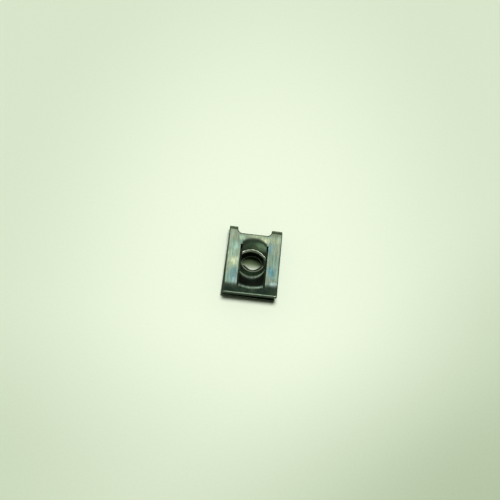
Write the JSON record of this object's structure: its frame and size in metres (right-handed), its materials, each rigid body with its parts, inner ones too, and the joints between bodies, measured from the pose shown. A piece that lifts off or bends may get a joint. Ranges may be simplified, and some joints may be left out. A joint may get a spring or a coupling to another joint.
{
  "type": "sheet metal nut",
  "caption": "Clip-on U-shaped sheet metal nut of blued spring steel, with notched thread prongs, a lead-in lip and a plain leg with a screw hole.",
  "frame": {"origin": "on the axis of the plain leg's screw hole, at that leg's underside", "axes": "+Y from the open end towards the fold, +Z from the plain leg towards the leg with the prongs, +X to the right"},
  "size_m": [0.015, 0.0204, 0.005],
  "materials": {
    "spring_steel": "oil-blackened spring steel with blue temper tints and bare sheared edges"
  },
  "bodies": {
    "root": {"spring_nut": "spring_steel"}
  },
  "joints": []
}
